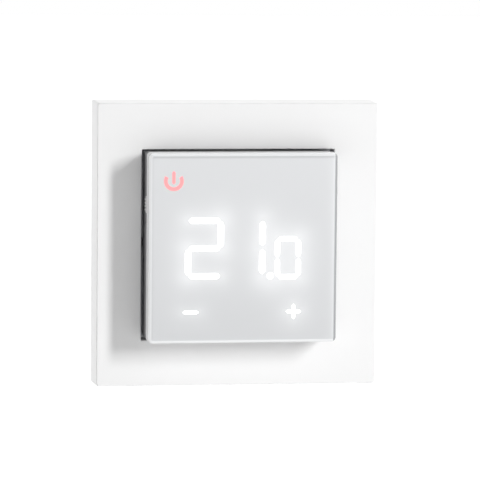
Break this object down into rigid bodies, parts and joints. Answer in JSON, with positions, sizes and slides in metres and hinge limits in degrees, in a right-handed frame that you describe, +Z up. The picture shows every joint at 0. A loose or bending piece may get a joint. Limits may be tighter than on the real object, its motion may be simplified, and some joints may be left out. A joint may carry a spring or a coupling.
{
  "type": "wall thermostat",
  "caption": "Square white wall thermostat: cover frame, raised glass-fronted touch module with side slide switch, and a base with screw terminals for a round flush box.",
  "frame": {"origin": "centre of the square frame on the wall surface", "axes": "-Y out of the wall towards the room, +Z up, +X right as seen from the room"},
  "size_m": [0.084, 0.045, 0.084],
  "materials": {
    "frame_white": "fine satin white thermoplastic",
    "cap_white": "satin white thermoplastic",
    "glass": "clear polished glass over a white back print",
    "adhesive": "thin foam adhesive",
    "body_grey": "fine satin grey thermoplastic",
    "light_plastic": "milky light-spreading plastic",
    "circuit_board": "green solder mask on glass-fibre board",
    "black_plastic": "matt black moulding",
    "blue_plastic": "glossy blue coating or case",
    "yellow_tape": "yellow polyester tape round a ferrite core",
    "steel": "zinc-plated steel",
    "brass": "plain brass",
    "copper": "enamelled copper wire and contact alloy"
  },
  "bodies": {
    "base": {"mounting_plate": "steel", "box_screw_left": "steel", "box_screw_right": "steel", "base_cover": "body_grey", "rear_housing": "body_grey", "housing_screw_left": "steel", "housing_screw_right": "steel", "power_board": "circuit_board", "header_socket": "black_plastic", "supply_transformer": "yellow_tape", "filter_capacitor": "blue_plastic", "varistor": "blue_plastic", "fuse": "black_plastic", "smoothing_capacitor": "black_plastic", "relay_base": "black_plastic", "relay_case": "blue_plastic", "relay_coil": "copper", "relay_yoke": "steel", "relay_fixed_contact": "copper", "mains_terminal_block": "black_plastic", "mains_bar_1": "brass", "mains_bar_2": "brass", "mains_bar_3": "brass", "mains_bar_4": "brass", "sensor_terminal_block": "black_plastic", "sensor_bar_1": "brass", "sensor_bar_2": "brass"},
    "frame": {"cover_frame": "frame_white"},
    "front_module": {"glass_panel": "glass", "glass_adhesive": "adhesive", "diffuser_film": "light_plastic", "front_bezel": "cap_white", "light_guide": "light_plastic", "display_board": "circuit_board", "controller_chip": "black_plastic", "room_sensor": "black_plastic", "touch_spring_power": "steel", "touch_spring_minus": "steel", "touch_spring_plus": "steel", "slide_switch": "black_plastic", "pin_header": "brass", "front_housing": "body_grey", "board_screw_upper": "steel", "board_screw_lower": "steel"},
    "switch_slider": {"switch_knob": "cap_white", "switch_shutter": "body_grey"},
    "armature": {"relay_armature": "steel", "relay_moving_contact": "copper"},
    "mains_screw_1": {"mains_screw_1": "steel"},
    "mains_cage_1": {"mains_cage_1": "steel"},
    "mains_screw_2": {"mains_screw_2": "steel"},
    "mains_cage_2": {"mains_cage_2": "steel"},
    "mains_screw_3": {"mains_screw_3": "steel"},
    "mains_cage_3": {"mains_cage_3": "steel"},
    "mains_screw_4": {"mains_screw_4": "steel"},
    "mains_cage_4": {"mains_cage_4": "steel"},
    "sensor_screw_1": {"sensor_screw_1": "steel"},
    "sensor_cage_1": {"sensor_cage_1": "steel"},
    "sensor_screw_2": {"sensor_screw_2": "steel"},
    "sensor_cage_2": {"sensor_cage_2": "steel"}
  },
  "joints": [
    {"name": "frame_pull", "type": "slide", "parent": "base", "child": "frame", "axis": [0, -1, 0], "range_m": [0, 0.03]},
    {"name": "module_pull", "type": "slide", "parent": "base", "child": "front_module", "axis": [0, -1, 0], "range_m": [0, 0.03]},
    {"name": "switch_slide", "type": "slide", "parent": "front_module", "child": "switch_slider", "axis": [0, 0, -1], "range_m": [0, 0.003]},
    {"name": "armature_hinge", "type": "hinge", "parent": "base", "child": "armature", "pos_m": [-0.0073, 0.0133, -0.0033], "axis": [0, 0, 1], "range_deg": [0, 3.5], "stiffness_Nm_per_rad": 0.005},
    {"name": "mains_screw_1_turn", "type": "hinge", "parent": "base", "child": "mains_screw_1", "pos_m": [-0.01125, 0, -0.016], "axis": [0, 1, 0], "range_deg": [0, 1802]},
    {"name": "mains_cage_1_rise", "type": "slide", "parent": "base", "child": "mains_cage_1", "axis": [0, -1, 0], "range_m": [0, 0.003]},
    {"name": "mains_screw_2_turn", "type": "hinge", "parent": "base", "child": "mains_screw_2", "pos_m": [-0.00375, 0, -0.016], "axis": [0, 1, 0], "range_deg": [0, 1802]},
    {"name": "mains_cage_2_rise", "type": "slide", "parent": "base", "child": "mains_cage_2", "axis": [0, -1, 0], "range_m": [0, 0.003]},
    {"name": "mains_screw_3_turn", "type": "hinge", "parent": "base", "child": "mains_screw_3", "pos_m": [0.00375, 0, -0.016], "axis": [0, 1, 0], "range_deg": [0, 1802]},
    {"name": "mains_cage_3_rise", "type": "slide", "parent": "base", "child": "mains_cage_3", "axis": [0, -1, 0], "range_m": [0, 0.003]},
    {"name": "mains_screw_4_turn", "type": "hinge", "parent": "base", "child": "mains_screw_4", "pos_m": [0.01125, 0, -0.016], "axis": [0, 1, 0], "range_deg": [0, 1802]},
    {"name": "mains_cage_4_rise", "type": "slide", "parent": "base", "child": "mains_cage_4", "axis": [0, -1, 0], "range_m": [0, 0.003]},
    {"name": "sensor_screw_1_turn", "type": "hinge", "parent": "base", "child": "sensor_screw_1", "pos_m": [-0.0027, 0, 0.0171], "axis": [0, 1, 0], "range_deg": [0, 1442]},
    {"name": "sensor_cage_1_rise", "type": "slide", "parent": "base", "child": "sensor_cage_1", "axis": [0, -1, 0], "range_m": [0, 0.0018]},
    {"name": "sensor_screw_2_turn", "type": "hinge", "parent": "base", "child": "sensor_screw_2", "pos_m": [0.0027, 0, 0.0171], "axis": [0, 1, 0], "range_deg": [0, 1442]},
    {"name": "sensor_cage_2_rise", "type": "slide", "parent": "base", "child": "sensor_cage_2", "axis": [0, -1, 0], "range_m": [0, 0.0018]}
  ],
  "couplings": [
    {"joint": "mains_screw_1_turn", "follows": "mains_cage_1_rise", "rad_per_m": 10472},
    {"joint": "mains_screw_2_turn", "follows": "mains_cage_2_rise", "rad_per_m": 10472},
    {"joint": "mains_screw_3_turn", "follows": "mains_cage_3_rise", "rad_per_m": 10472},
    {"joint": "mains_screw_4_turn", "follows": "mains_cage_4_rise", "rad_per_m": 10472},
    {"joint": "sensor_screw_1_turn", "follows": "sensor_cage_1_rise", "rad_per_m": 13963},
    {"joint": "sensor_screw_2_turn", "follows": "sensor_cage_2_rise", "rad_per_m": 13963}
  ]
}
